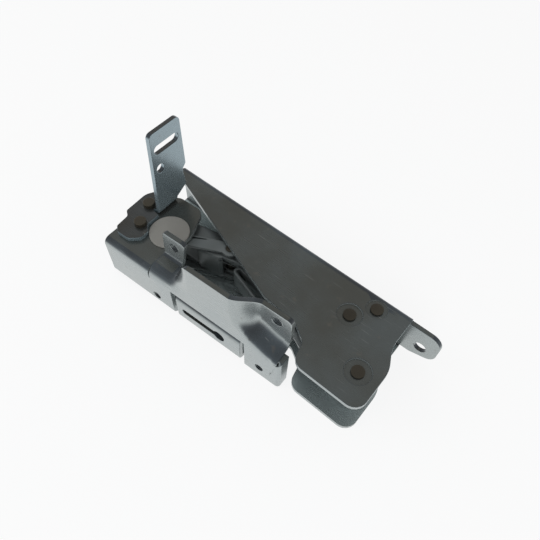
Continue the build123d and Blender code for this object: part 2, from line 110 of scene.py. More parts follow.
def splitNode(tree, vector):
    node = tree.nodes.new("ShaderNodeSeparateXYZ")
    wire(tree, vector, node.inputs[0])
    return node.outputs


def newGroup(name, inputs, outputs):
    tree = bpy.data.node_groups.new(name, "ShaderNodeTree")
    for label, kind, default in inputs:
        socket = tree.interface.new_socket(label, in_out="INPUT", socket_type=kind)
        if default is not None:
            socket.default_value = default
    for label in outputs:
        tree.interface.new_socket(label, in_out="OUTPUT", socket_type="NodeSocketFloat")
    start = tree.nodes.new("NodeGroupInput")
    end = tree.nodes.new("NodeGroupOutput")
    return tree, start.outputs, end.inputs


def placeGroup(tree, group, **values):
    node = tree.nodes.new("ShaderNodeGroup")
    node.node_tree = group
    for name, value in values.items():
        wire(tree, value, node.inputs[name])
    return node.outputs


# rolled grain: fine streaks along the sheet, and a speckle
grainTune = {
    "turn": 0.06,
    "stretch": (40.0, 900.0, 900.0),
    "streaks": (1.0, 3.0, 0.6),
    "speckle": (2600.0, 2.0, 0.7),
    "streakSpan": (0.25, 0.75),
    "speckleSpan": (0.3, 0.7),
}


def buildRolledGrain(tune):
    tree, given, out = newGroup(
        "rolledGrain",
        [("Vector", "NodeSocketVector", None), ("Fineness", "NodeSocketFloat", 1.0)],
        ["Streaks", "Speckle"],
    )
    scaled = tree.nodes.new("ShaderNodeVectorMath")
    scaled.operation = "SCALE"
    wire(tree, given["Vector"], scaled.inputs[0])
    wire(tree, given["Fineness"], scaled.inputs["Scale"])
    along = stretched(tree, scaled.outputs[0], tune["turn"], tune["stretch"])
    wire(tree, noiseNode(tree, along, *tune["streaks"]), out["Streaks"])
    wire(tree, noiseNode(tree, scaled.outputs[0], *tune["speckle"]), out["Speckle"])
    return tree


# fine scratches: thin lines in three directions, broken up by patches
scratchTune = {
    "runs": ((0.9, 70.0), (-0.5, 110.0), (1.35, 90.0)),
    "stretch": (55.0, 1900.0, 420.0),
    "lines": (1.0, 1.0, 0.4),
    "thin": (0.69, 0.76),
    "patchDetail": 1.0,
    "patch": (0.52, 0.66),
}


def buildFineScratches(tune):
    tree, given, out = newGroup(
        "fineScratches",
        [("Vector", "NodeSocketVector", None), ("Amount", "NodeSocketFloat", 0.5)],
        ["Scratches"],
    )
    total = None
    for turn, scale in tune["runs"]:
        lines = stretched(tree, given["Vector"], turn, tune["stretch"])
        thin = rangeNode(tree, noiseNode(tree, lines, *tune["lines"]), *tune["thin"])
        patches = noiseNode(tree, given["Vector"], scale, tune["patchDetail"])
        broken = times(tree, thin, rangeNode(tree, patches, *tune["patch"]))
        total = broken if total is None else mathNode(tree, "MAXIMUM", total, broken)
    wire(tree, times(tree, total, given["Amount"], clamp=True), out["Scratches"])
    return tree


# handling marks: broad soft clouds, and small spots where oil has dried
markTune = {
    "Clouds": ((34.0, 3.0, 0.55), (0.3, 0.72)),
    "Spots": ((260.0, 2.0, 0.6), (0.62, 0.8)),
}


def buildHandlingMarks(tune):
    tree, given, out = newGroup("handlingMarks", [("Vector", "NodeSocketVector", None)], list(tune))
    for label, (noise, span) in tune.items():
        wire(tree, rangeNode(tree, noiseNode(tree, given["Vector"], *noise), *span), out[label])
    return tree


# painted light by tilt: which faces lie level or lean, by the piece's own normals, and which level ones lie low;
# the plating takes painted shade on level and leaning faces and painted light on low level ones
tiltLightTune = {"level": (0.988, 0.997), "lean": (0.3, 0.66), "low": (2.3 * mm, 2.6 * mm)}


def buildTiltPaintedLight(tune):
    tree, given, out = newGroup(
        "tiltPaintedLight",
        [("Normal", "NodeSocketVector", None), ("Vector", "NodeSocketVector", None)],
        ["Level", "Lean", "Low"],
    )
    low = rangeNode(tree, splitNode(tree, given["Vector"])["Z"], *tune["low"], 1.0, 0.0)
    steep = mathNode(tree, "ABSOLUTE", splitNode(tree, given["Normal"])["Z"])
    level = rangeNode(tree, steep, *tune["level"])
    wire(tree, level, out["Level"])
    wire(tree, times(tree, level, low), out["Low"])
    wire(tree, rangeNode(tree, steep, *tune["lean"]), out["Lean"])
    return tree


rolledGrain = buildRolledGrain(grainTune)
fineScratches = buildFineScratches(scratchTune)
handlingMarks = buildHandlingMarks(markTune)
tiltPaintedLight = buildTiltPaintedLight(tiltLightTune)


def newMaterial(name, tune):
    material = bpy.data.materials.new(name)
    material.use_nodes = True
    tree = material.node_tree
    shader = tree.nodes["Principled BSDF"]
    shader.inputs["Metallic"].default_value = tune["metallic"]
    shader.inputs["Specular IOR Level"].default_value = tune["specular"]
    place = tree.nodes.new("ShaderNodeTexCoord").outputs
    grain = placeGroup(tree, rolledGrain, Vector=place["Object"], Fineness=tune["fineness"])
    marks = placeGroup(tree, handlingMarks, Vector=place["Object"])
    return material, tree, shader, place, grain, marks


def addBump(tree, shader, height, strength, depth):
    bump = tree.nodes.new("ShaderNodeBump")
    bump.inputs["Strength"].default_value = strength
    bump.inputs["Distance"].default_value = depth
    wire(tree, height, bump.inputs["Height"])
    wire(tree, bump.outputs["Normal"], shader.inputs["Normal"])


# zinc plating on folded sheet with painted light by tilt: level faces take a dark painted shade, leaning faces a
# darker painted shade band, upright faces a pale painted reflection and low level faces a lighter bluish painted
# light; blueing is the share of the clouds and of the blue in them
zincPlateAndTiltLight = {
    "level": (0.092, 0.094, 0.084),
    "lean": (0.05, 0.055, 0.06),
    "upright": (0.38, 0.41, 0.405),
    "low": (0.48, 0.55, 0.55),
    "blue": (0.25, 0.33, 0.38),
    "blueing": (0.3, 0.5),
    "brown": (0.2, 0.17, 0.14),
    "spotting": 0.25,
    "speckle": (0.93, 1.05),
    "scratch": (0.6, 0.62, 0.6),
    "scratches": 0.18,
    "metallic": 0.74,
    "specular": 0.5,
    "roughness": (0.22, 0.26),
    "clouding": 0.06,
    "fineness": 1.0,
    "relief": (0.35, 0.7, 1.2),
    "bump": (0.08, 0.04 * mm),
}
# the panel bracket's plating takes a browner painted shade where it lies level and a bluer painted reflection
# where it stands
panelPlateAndTiltLight = dict(zincPlateAndTiltLight, level=(0.06, 0.055, 0.047), upright=(0.3, 0.37, 0.4), blue=(0.2, 0.28, 0.34))


def buildPlatingAndTiltLight(name, tune):
    material, tree, shader, place, grain, marks = newMaterial(name, tune)
    # masks by tilt and height that lay painted shade on level and leaning faces and painted light on low level
    # ones
    depth = placeGroup(tree, tiltPaintedLight, Normal=place["Normal"], Vector=place["Object"])
    scratches = placeGroup(tree, fineScratches, Vector=place["Object"], Amount=tune["scratches"])["Scratches"]
    colour = mixColour(tree, depth["Lean"], tune["upright"], tune["lean"])
    colour = mixColour(tree, depth["Level"], colour, tune["level"])
    colour = mixColour(tree, depth["Low"], colour, tune["low"])
    cloudShare, blueShare = tune["blueing"]
    bluish = mixColour(tree, blueShare, colour, tune["blue"])
    colour = mixColour(tree, times(tree, marks["Clouds"], cloudShare), colour, bluish)
    colour = mixColour(tree, times(tree, marks["Spots"], tune["spotting"]), colour, tune["brown"])
    speckle = rangeNode(tree, grain["Speckle"], *grainTune["speckleSpan"], *tune["speckle"])
    shade = tree.nodes.new("ShaderNodeCombineColor")
    for slot in shade.inputs[:3]:
        wire(tree, speckle, slot)
    colour = mixColour(tree, 1.0, colour, shade.outputs[0], "MULTIPLY")
    colour = mixColour(tree, scratches, colour, tune["scratch"])
    wire(tree, colour, shader.inputs["Base Color"])
    rough = rangeNode(tree, grain["Streaks"], *grainTune["streakSpan"], *tune["roughness"])
    rough = plus(tree, rough, times(tree, marks["Clouds"], tune["clouding"]))
    wire(tree, rough, shader.inputs["Roughness"])
    streaked, speckled, scratched = tune["relief"]
    height = plus(tree, times(tree, grain["Streaks"], streaked), times(tree, grain["Speckle"], speckled))
    height = mathNode(tree, "SUBTRACT", height, times(tree, scratches, scratched))
    addBump(tree, shader, height, *tune["bump"])
    return material


# pins, arms and the matt disc: two tones mixed by the shares of clouds and speckle
pinSteel = {
    "tones": ((0.035, 0.03, 0.022), (0.085, 0.075, 0.056)),
    "shares": (0.6, 0.25),
    "metallic": 0.7,
    "specular": 0.5,
    "roughness": (0.3, 0.5),
    "fineness": 1.4,
    "bump": (0.2, 0.05 * mm),
}
armSteel = dict(
    pinSteel, tones=((0.11, 0.122, 0.122), (0.26, 0.285, 0.285)), metallic=0.6, roughness=(0.3, 0.52)
)
discGrey = {
    "tones": ((0.205, 0.198, 0.18), (0.26, 0.252, 0.232)),
    "shares": (0.5, 0.4),
    "metallic": 0.0,
    "specular": 0.35,
    "roughness": (0.62, 0.8),
    "fineness": 0.8,
    "bump": (0.25, 0.06 * mm),
}


def buildTwoTone(name, tune):
    material, tree, shader, _, grain, marks = newMaterial(name, tune)
    clouded, speckled = tune["shares"]
    share = plus(tree, times(tree, marks["Clouds"], clouded), times(tree, grain["Speckle"], speckled), clamp=True)
    wire(tree, mixColour(tree, share, *tune["tones"]), shader.inputs["Base Color"])
    rough = rangeNode(tree, grain["Speckle"], *grainTune["speckleSpan"], *tune["roughness"])
    wire(tree, rough, shader.inputs["Roughness"])
    addBump(tree, shader, grain["Speckle"], *tune["bump"])
    return material


finishes = {
    "panel_plate": buildPlatingAndTiltLight("panelPlateAndTiltLight", panelPlateAndTiltLight),
    "zinc_plate": buildPlatingAndTiltLight("zincPlateAndTiltLight", zincPlateAndTiltLight),
    "pin_steel": buildTwoTone("pinSteel", pinSteel),
    "arm_steel": buildTwoTone("armSteel", armSteel),
    "disc_grey": buildTwoTone("discGrey", discGrey),
}
print("hinge: finishes built,", len(finishes))

# the CAD pieces take the finish of their slot, with edges eased by a hair
easedEdges = {
    "weld": 0.002 * mm,
    "width": 0.22 * mm,
    "angle": math.radians(32),
    "segments": 2,
    "sharp": math.radians(40),
    "plain": ("cover_disc",),
}
slotOf = {row["node"]: row["material_slot"] for row in frame["record"]["subparts"]}


def addBevel(obj, width, angle, clamp):
    ease = obj.modifiers.new("ease", "BEVEL")
    ease.width = width
    ease.segments = easedEdges["segments"]
    ease.limit_method = "ANGLE"
    ease.angle_limit = angle
    ease.use_clamp_overlap = clamp


def buildSmoothByAngle():
    tree = bpy.data.node_groups.new("smoothByAngle", "GeometryNodeTree")
    tree.interface.new_socket("Geometry", in_out="INPUT", socket_type="NodeSocketGeometry")
    tree.interface.new_socket("Geometry", in_out="OUTPUT", socket_type="NodeSocketGeometry")
    smooth = tree.nodes.new("GeometryNodeSetShadeSmooth")
    smooth.domain = "FACE"
    sharp = tree.nodes.new("GeometryNodeSetShadeSmooth")
    sharp.domain = "EDGE"
    sharp.inputs["Shade Smooth"].default_value = False
    angle = tree.nodes.new("GeometryNodeInputMeshEdgeAngle")
    limit = tree.nodes.new("FunctionNodeCompare")
    limit.operation = "GREATER_THAN"
    limit.inputs[1].default_value = easedEdges["sharp"]
    wire(tree, tree.nodes.new("NodeGroupInput").outputs[0], smooth.inputs["Geometry"])
    wire(tree, smooth.outputs[0], sharp.inputs["Geometry"])
    wire(tree, angle.outputs["Unsigned Angle"], limit.inputs[0])
    wire(tree, limit.outputs[0], sharp.inputs["Selection"])
    wire(tree, sharp.outputs[0], tree.nodes.new("NodeGroupOutput").inputs[0])
    return tree


smoothByAngle = buildSmoothByAngle()


def dressNode(name):
    obj = nodes[name]
    obj.data.materials.clear()
    obj.data.materials.append(finishes[slotOf[name]])
    weld = obj.modifiers.new("weld", "WELD")
    weld.merge_threshold = easedEdges["weld"]
    if name in easedEdges["plain"]:
        return
    addBevel(obj, easedEdges["width"], easedEdges["angle"], slotOf[name] == "pin_steel")
    smooth = obj.modifiers.new("smooth", "NODES")
    smooth.node_group = smoothByAngle


# places are given in mm from the housing's back left corner, along the housing or along the turned door
hingeFrame = {"corner": (-60.0, 21.9), "doorTurn": math.radians(3.24)}


def housingPoint(x, y, z):
    left, back = hingeFrame["corner"]
    return Vector((left + x, back + y, z)) * mm


def doorPoint(x, y, z):
    c, s = math.cos(hingeFrame["doorTurn"]), math.sin(hingeFrame["doorTurn"])
    left, back = hingeFrame["corner"]
    return Vector((left + x * c - y * s, back + x * s + y * c, z)) * mm


# runs of numbers and points
def evenSteps(first, last, count):
    return [first + (last - first) * i / count for i in range(count + 1)]


def easeStep(t):
    t = min(1.0, max(0.0, t))
    return t * t * (3.0 - 2.0 * t)


def arcRun(centre, radius, start, end, count):
    turns = [math.radians(a) for a in evenSteps(start, end, count)]
    return [(centre[0] + radius * math.cos(a), centre[1] + radius * math.sin(a)) for a in turns]


def evenRun(points, count):
    lengths = [0.0]
    for a, b in zip(points, points[1:]):
        lengths.append(lengths[-1] + math.dist(a, b))
    run = []
    k = 0
    for want in evenSteps(0.0, lengths[-1], count):
        while k < len(points) - 2 and lengths[k + 1] < want:
            k += 1
        t = (want - lengths[k]) / max(lengths[k + 1] - lengths[k], 1e-9)
        run.append(tuple(a + (b - a) * t for a, b in zip(points[k], points[k + 1])))
    return run


# corners given as x, y and radius; the first and the last stay sharp
def roundedOutline(corners, steps=6):
    outline = [corners[0][:2]]
    for before, (x, y, radius), after in zip(corners, corners[1:], corners[2:]):
        if radius == 0.0:
            outline.append((x, y))
            continue
        here = Vector((x, y))
        back = (Vector(before[:2]) - here).normalized()
        ahead = (Vector(after[:2]) - here).normalized()
        half = back.angle(ahead) / 2
        reach = radius / math.tan(half)
        middle = here + (back + ahead).normalized() * (radius / math.sin(half))
        first, last = here + back * reach - middle, here + ahead * reach - middle
        for j in range(steps + 1):
            spot = first.lerp(last, j / steps).normalized() * radius + middle
            outline.append((spot.x, spot.y))
    return outline + [corners[-1][:2]]


# sheets: columns of points joined into strips, with a wall, cut holes and eased edges
sheetEdges = {"weld": 0.02 * mm, "angle": math.radians(38), "stray": 0.8, "outside": 0.004 * mm}


def addColumn(mesh, points):
    return [mesh.verts.new(p) for p in points]


def stripFaces(mesh, columns):
    for a, b in zip(columns, columns[1:]):
        for i in range(min(len(a), len(b)) - 1):
            mesh.faces.new((a[i], b[i], b[i + 1], a[i + 1]))


def meshData(name, mesh):
    data = bpy.data.meshes.new(name)
    mesh.to_mesh(data)
    mesh.free()
    return data


def sheetMesh(name, mesh, outward):
    bmesh.ops.remove_doubles(mesh, verts=mesh.verts, dist=sheetEdges["weld"])
    bmesh.ops.recalc_face_normals(mesh, faces=mesh.faces)
    first = max(mesh.faces, key=lambda f: f.calc_center_median().dot(outward))
    if first.normal.dot(outward) < 0:
        bmesh.ops.reverse_faces(mesh, faces=mesh.faces)
    return meshData(name, mesh)


def bake(obj):
    graph = bpy.context.evaluated_depsgraph_get()
    data = bpy.data.meshes.new_from_object(obj.evaluated_get(graph))
    obj.modifiers.clear()
    obj.data = data
    return data


def addSheet(name, data, finish, thickness):
    obj = bpy.data.objects.new(name, data)
    bpy.context.collection.objects.link(obj)
    obj.data.materials.clear()
    obj.data.materials.append(finish)
    wall = obj.modifiers.new("wall", "SOLIDIFY")
    wall.thickness = thickness * mm
    wall.offset = -1.0
    wall.use_even_offset = True
    return obj


def rodMesh(start, end, radius, sides=40):
    mesh = bmesh.new()
    axis = end - start
    wide = radius * mm
    bmesh.ops.create_cone(mesh, cap_ends=True, segments=sides, radius1=wide, radius2=wide, depth=axis.length)
    turn = axis.to_track_quat("Z", "Y").to_matrix().to_4x4()
    mesh.transform(Matrix.Translation((start + end) / 2) @ turn)
    return meshData("cutter", mesh)


# a long hole from one round end to the other, cut along an axis
def slotMesh(first, last, radius, axis, steps=14):
    mesh = bmesh.new()
    along = (last - first).normalized()
    across = axis.normalized().cross(along)
    rim = []
    for centre, start in ((last, -90.0), (first, 90.0)):
        for a in (math.radians(d) for d in evenSteps(start, start + 180.0, steps)):
            rim.append(centre + (along * math.cos(a) + across * math.sin(a)) * (radius * mm))
    low = addColumn(mesh, rim)
    high = addColumn(mesh, [v + axis for v in rim])
    mesh.faces.new(low)
    mesh.faces.new(list(reversed(high)))
    for i in range(len(rim)):
        mesh.faces.new((low[i], low[i - 1], high[i - 1], high[i]))
    bmesh.ops.recalc_face_normals(mesh, faces=mesh.faces)
    return meshData("cutter", mesh)


def cutShapes(obj, shapes):
    cutters = [bpy.data.objects.new("cutter", shape) for shape in shapes]
    for cutter in cutters:
        bpy.context.collection.objects.link(cutter)
        cut = obj.modifiers.new("cut", "BOOLEAN")
        cut.operation = "DIFFERENCE"
        cut.solver = "EXACT"
        cut.object = cutter
    bake(obj)
    for cutter in cutters:
        bpy.data.objects.remove(cutter)


# a corner that the bevel throws out goes back to the plain sheet
def finishEdges(obj, width):
    plain = bmesh.new()
    plain.from_mesh(obj.data)
    surface = BVHTree.FromBMesh(plain)
    plain.free()
    addBevel(obj, width * mm, sheetEdges["angle"], False)
    data = bake(obj)
    for vertex in data.vertices:
        spot, normal, _, far = surface.find_nearest(vertex.co)
        outside = (vertex.co - spot).dot(normal) > sheetEdges["outside"]
        if outside or far > sheetEdges["stray"] * width * mm:
            vertex.co = spot
    data.shade_smooth()
    data.set_sharp_from_angle(angle=easedEdges["sharp"])
    even = obj.modifiers.new("even", "WEIGHTED_NORMAL")
    even.keep_sharp = True
    bake(obj)


# the housing as one folded sheet with a leaning strip along its folds, dished pin seats and a screw ear
foldedHousing = {
    "length": 120.0,
    "height": 22.0,
    "bend": 2.05,
    "bendSteps": 6,
    "strip": (4.6, 9.0),
    "sheet": 2.0,
    "columns": 12,
    "webRows": (6.0, 9.0, 13.0, 16.0),
    "front": (
        (0.0, -5.5, 0.4), (72.0, -29.6, 8.0), (88.0, -31.0, 4.0), (94.8, -35.2, 4.0), (96.7, -43.8, 5.0),
        (124.3, -43.8, 5.0), (124.3, -24.5, 13.0), (120.0, -15.9, 15.0), (120.0, -8.0, 0.0),
    ),
    "apron": ((29.0, -15.2, 6.0), (34.2, -37.6, 4.0), (80.0, -38.0, 5.0), (84.0, -31.0, 3.0)),
    "ear": ((133.7, 19.4, 5.0), (133.7, 6.0, 5.0), (124.0, 2.6, 4.0)),
    "earHole": (127.0, 9.4, 2.5),
    "earCut": (1.0, -4.0),
    "pins": ((116.0, -31.6, 5.0), (107.5, -6.4, 4.2), (101.0, -14.9, 4.9)),
    "seat": 0.8,
    "neck": 2.05,
    "past": (1.0, 1.5),
    "ease": 0.25,
}


def buildFoldedHousing(tune):
    mesh = bmesh.new()
    bend, height, length = tune["bend"], tune["height"], tune["length"]
    wide, lean = tune["strip"]
    turn = math.radians(lean)
    drop = (wide - bend + bend * math.sin(turn)) * math.tan(turn)
    middle = height - drop - bend * math.cos(turn)
    top = arcRun((-bend, middle), bend, 0.0, 90.0 - lean, tune["bendSteps"]) + [(-wide, height)]
    profile = [(y, height - z) for y, z in reversed(top)]
    profile += [(0.0, z) for z in tune["webRows"]] + top
    columns = []
    for x in evenSteps(0.0, length, tune["columns"]):
        columns.append(addColumn(mesh, [housingPoint(x, y, z) for y, z in profile]))
    stripFaces(mesh, columns)
    start, front = ((0.0, -wide, 0.0),), tune["front"]
    for end, level, corners in ((0, 0.0, front[:1] + tune["apron"] + front[2:]), (-1, height, front)):
        rim = addColumn(mesh, [housingPoint(x, y, level) for x, y in roundedOutline(start + corners)[1:]])
        mesh.faces.new([c[end] for c in reversed(columns)] + rim)
    back = housingPoint(0, 0, 0).y
    web = [v for v in columns[-1] if abs(v.co.y - back) < sheetEdges["weld"] / 2]
    tip = roundedOutline(((length, middle, 0.0),) + tune["ear"] + ((length, height - middle, 0.0),))[1:-1]
    mesh.faces.new(web + addColumn(mesh, [housingPoint(x, 0.0, z) for x, z in tip]))
    return sheetMesh("foldedHousing", mesh, Vector((0, 1, 0)))


def makeHousing(tune):
    obj = addSheet("foldedHousing", buildFoldedHousing(tune), finishes["zinc_plate"], tune["sheet"])
    deep, height = tune["seat"], tune["height"]
    near, far = tune["past"]
    shapes = []
    for x, y, radius in tune["pins"]:
        bores = ((-near, deep, radius), (height - deep, height + near, radius), (-far, height + far, tune["neck"]))
        shapes += [rodMesh(housingPoint(x, y, low), housingPoint(x, y, high), r) for low, high, r in bores]
    x, z, radius = tune["earHole"]
    shapes.append(rodMesh(*(housingPoint(x, y, z) for y in tune["earCut"]), radius))
    cutShapes(obj, shapes)
    finishEdges(obj, tune["ease"])
    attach(obj, "housing")
    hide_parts("housing")
    print("hinge: housing folded,", len(obj.data.polygons), "faces")


# the door bracket as one pressed sheet: fold, bulge with its ear, middle, scoop with its ear, end flange
pressedBracket = {
    "sheet": 2.0,
    "height": 22.0,
    "face": -52.0,
    "fold": 3.0,
    "foldSteps": 6,
    "foldColumns": (3.0, 9.0, 15.0, 21.0, 27.2),
    "faceRows": (0.0, 3.0, 6.0, 9.0, 12.0, 15.0, 17.0),
    "lobe": (
        (27.2, -39.7, 0.0), (29.7, -38.0, 0.8), (29.7, -29.0, 9.0), (24.6, -16.0, 5.0), (12.0, -16.0, 5.0),
        (0.8, -23.6, 5.0), (0.8, -34.0, 3.0), (3.0, -41.0, 3.0),
    ),
    "lip": (27.2, -44.5),
    "notch": (38.6, 75.0),
    "rows": 30,
    "bulge": (5.0, 18.0),
    "bulgeSteps": 10,
    "ledge": (-43.6, 23.0),
    "leftEar": (27.6, 37.2, -42.0, 36.0),
    "leftColumns": (28.4, 30.0, 32.0, 34.0, 36.0),
    "leftLean": (1.0, 2.6),
    "leftCorner": 0.9,
    "leftRows": 6,
    "crease": 1.5,
    "creaseSteps": 5,
    "middle": (50.0, 68.6, 42.0),
    "middleColumns": (53.0, 56.0, 59.0, 62.0, 65.0),
    "bendEnd": 77.2,
    "bendColumns": 14,
    "apart": 0.25,
    "rightEar": (-44.0, 36.4, 89.6),
    "rightColumns": (79.0, 81.0, 83.0, 85.0, 87.0, 87.7, 88.5, 89.1),
    "rightCorner": (2.0, 1.8, 2.5),
    "scoop": (70.0, 91.4, 28.5, 18.6),
    "scoopFall": 1.6,
    "scoopFolds": (2.4, 5.0),
    "scoopSteps": (7, 9),
    "flange": (90.0, -50.5, 1.5, -46.6),
    "flangeTurns": (0, 22, 45, 68, 90),
    "flangeRise": 1.9,
    "holes": ((29.4, 5.4, 2.0), (82.1, 5.8, 2.0)),
    "holeCut": (-53.0, -45.0),
    "earHoles": ((33.8, 30.5, 2.3, -45.0, -38.0), (83.4, 31.4, 2.3, -46.0, -40.0)),
    "pins": ((5.9, -28.4, 2.55), (10.4, -37.85, 2.55)),
    "past": 1.0,
    "ease": 0.25,
}


# the sheet's run from the seam on the face up over the scoop to the right ear's top
def scoopRun(tune, x):
    face, seam = tune["face"], tune["faceRows"][-1]
    left, right, high, low = tune["scoop"]
    outer, inner = tune["scoopFolds"]
    outerSteps, innerSteps = tune["scoopSteps"]
    earFace, earTop, earEnd = tune["rightEar"]
    wide, deep, power = tune["rightCorner"]
    t = min(1.0, max(0.0, (x - left) / (right - left)))
    rim = low + (high - low) * (1.0 - t) ** tune["scoopFall"]
    drop = deep * max(0.0, (x - earEnd + wide) / wide) ** power
    run = [(face, seam)] + arcRun((face + outer, rim - outer), outer, 180.0, 90.0, outerSteps)
    run += arcRun((earFace - inner, rim + inner), inner, 270.0, 360.0, innerSteps)
    return run + [(earFace, earTop - drop)]


def buildPressedBracket(tune):
    mesh = bmesh.new()
    face, fold, rows, faceRows = tune["face"], tune["fold"], tune["rows"], tune["faceRows"]
    seam = faceRows[-1]
    notchLeft, notchRight = tune["notch"]
    middleStart, middleEnd, middleTop = tune["middle"]

    def column(points):
        return addColumn(mesh, [doorPoint(*p) for p in points])

    # left end: lower plate, fold, face, fold, upper plate
    bottomFold = arcRun((face + fold, fold), fold, 270.0, 180.0, tune["foldSteps"])
    topFold = arcRun((face + fold, tune["height"] - fold), fold, 180.0, 90.0, tune["foldSteps"])
    upright = [(face, z) for z in faceRows[2:]]
    folds = [column([(x, y, z) for y, z in bottomFold + upright + topFold]) for x in tune["foldColumns"]]
    stripFaces(mesh, folds)
    outline = roundedOutline(tune["lobe"])
    lowerRim = column([(x, y, 0.0) for x, y in [tune["lip"]] + outline])
    mesh.faces.new(list(reversed([c[0] for c in folds] + lowerRim)))
    mesh.faces.new([c[-1] for c in folds] + column([(x, y, tune["height"]) for x, y in outline]))

    # from the bulge to the right end, the sheet rises from the seam
    bulge, bulgeLevel = tune["bulge"]
    bulgeArc = arcRun((face + bulge, bulgeLevel), bulge, 180.0, 90.0, tune["bulgeSteps"])
    bulgeRun = [(face, seam)] + bulgeArc + [tune["ledge"]]
    middleRun = [(face, seam), (face, middleTop)]
    earLeft, earRight, earBack, earTop = tune["leftEar"]
    xs = [earLeft, *tune["leftColumns"], earRight]
    xs += evenSteps(notchLeft, middleStart, tune["bendColumns"]) + list(tune["middleColumns"])
    bend = evenSteps(middleEnd, tune["bendEnd"], tune["bendColumns"])
    xs += [x for x in bend if abs(x - notchRight) > tune["apart"]]
    xs = sorted(xs + [notchRight, *tune["rightColumns"], tune["rightEar"][-1]])
    uppers = []
    for x in xs:
        if x <= middleStart:
            runs = bulgeRun, middleRun
            weight = easeStep((x - earRight) / (middleStart - earRight))
        else:
            runs = middleRun, scoopRun(tune, x)
            weight = easeStep((x - middleEnd) / (tune["bendEnd"] - middleEnd))
        pairs = zip(*(evenRun(run, rows) for run in runs))
        uppers.append(column([(x, *(p + (q - p) * weight for p, q in zip(a, b))) for a, b in pairs]))
    stripFaces(mesh, uppers)

    # face beside the notch, and the end flange
    under = [(tune["lip"][1], 0.0)] + bottomFold + upright
    leftXs = [tune["foldColumns"][-1]] + [x for x in xs if x <= notchLeft]
    stripFaces(mesh, [column([(x, y, z) for y, z in under]) for x in leftXs])
    flangeX, flangeY, flangeR, flangeBack = tune["flange"]
    spots = [(x, face) for x in xs if x >= notchRight]
    for a in (math.radians(d) for d in tune["flangeTurns"]):
        spots.append((flangeX + flangeR * math.sin(a), flangeY - flangeR * math.cos(a)))
    spots.append((flangeX + flangeR, flangeBack))
    rights = []
    for x, y in spots:
        taller = 1.0 + tune["flangeRise"] / seam * max(0.0, x - flangeX) / flangeR
        rights.append(column([(x, y, z * taller) for z in faceRows]))
    stripFaces(mesh, rights)

    # left ear, which leans to the right as it rises
    radius = tune["crease"]
    foot = tune["ledge"][1] + radius
    crease = arcRun((earBack - radius, foot), radius, 270.0, 360.0, tune["creaseSteps"])
    leanLeft, leanRight = tune["leftLean"]
    ear = []
    for x in (x for x in xs if x <= earRight):
        top = earTop - (tune["leftCorner"] if x in (earLeft, earRight) else 0.0)
        lean = leanLeft + (leanRight - leanLeft) * (x - earLeft) / (earRight - earLeft)
        run = [tune["ledge"]] + crease + [(earBack, z) for z in evenSteps(foot, top, tune["leftRows"])[1:]]
        ear.append(column([(x + lean * max(0.0, (z - foot) / (earTop - foot)), y, z) for y, z in run]))
    stripFaces(mesh, ear)
    return sheetMesh("pressedBracket", mesh, Vector((0, -1, 0)))


def makeBracket(tune):
    obj = addSheet("pressedBracket", buildPressedBracket(tune), finishes["zinc_plate"], tune["sheet"])
    holes = [(*hole, *tune["holeCut"]) for hole in tune["holes"]] + list(tune["earHoles"])
    shapes = [rodMesh(doorPoint(x, a, z), doorPoint(x, b, z), r) for x, z, r, a, b in holes]
    low, high = -tune["past"], tune["height"] + tune["past"]
    shapes += [rodMesh(doorPoint(x, y, low), doorPoint(x, y, high), r) for x, y, r in tune["pins"]]
    cutShapes(obj, shapes)
    finishEdges(obj, tune["ease"])
    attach(obj, "door_bracket")
    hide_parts("door_bracket")
    print("hinge: door bracket pressed,", len(obj.data.polygons), "faces")


# the panel bracket: a plate on the door bracket with a curved foot, folded up into the tall tab
panelAngle = {
    "level": 22.0,
    "sheet": 2.0,
    "bend": 3.0,
    "bendSteps": 7,
    "face": 12.4,
    "fold": (-28.7, -25.0, -21.5, -18.0),
    "plate": (
        (9.4, -28.7, 0.0), (9.6, -29.6, 0.4), (12.7, -29.9, 0.8), (12.7, -36.4, 2.5), (15.6, -39.0, 1.5),
        (15.9, -43.0, 3.0), (12.0, -46.5, 3.5), (6.2, -46.6, 2.0), (3.6, -44.6, 1.5), (3.1, -38.3, 1.5),
        (0.6, -36.4, 1.5), (0.2, -25.0, 6.0), (4.2, -18.2, 4.0), (9.4, -18.0, 0.0),
    ),
    "tab": (
        (-18.0, 25.0, 0.0), (-12.0, 28.2, 1.2), (-12.8, 34.7, 0.5), (-12.8, 36.7, 0.5), (-10.8, 38.7, 0.8),
        (-10.8, 61.8, 2.0), (-26.4, 61.8, 2.0), (-28.7, 25.0, 0.0),
    ),
    "slot": (-18.9, 53.8, 8.8, 2.0),
    "hole": (-23.8, 45.0, 2.0),
    "tabCut": (-4.0, 2.0),
    "pins": ((5.9, -28.4, 2.05), (10.4, -37.85, 2.05)),
    "pinCut": (-1.0, 4.0),
    "ease": 0.22,
}


def buildPanelAngle(tune):
    mesh = bmesh.new()
    face, level, bend = tune["face"], tune["level"], tune["bend"]
    arc = arcRun((face - bend, level + bend), bend, 270.0, 360.0, tune["bendSteps"])
    columns = [addColumn(mesh, [doorPoint(x, y, z) for x, z in arc]) for y in tune["fold"]]
    stripFaces(mesh, columns)
    plate = [doorPoint(x, y, level) for x, y in roundedOutline(tune["plate"])[1:-1]]
    mesh.faces.new([c[0] for c in reversed(columns)] + addColumn(mesh, plate))
    tab = [doorPoint(face, y, z) for y, z in roundedOutline(tune["tab"])[1:-1]]
    mesh.faces.new([c[-1] for c in columns] + addColumn(mesh, tab))
    return sheetMesh("panelAngle", mesh, Vector((1, 0, 0)))


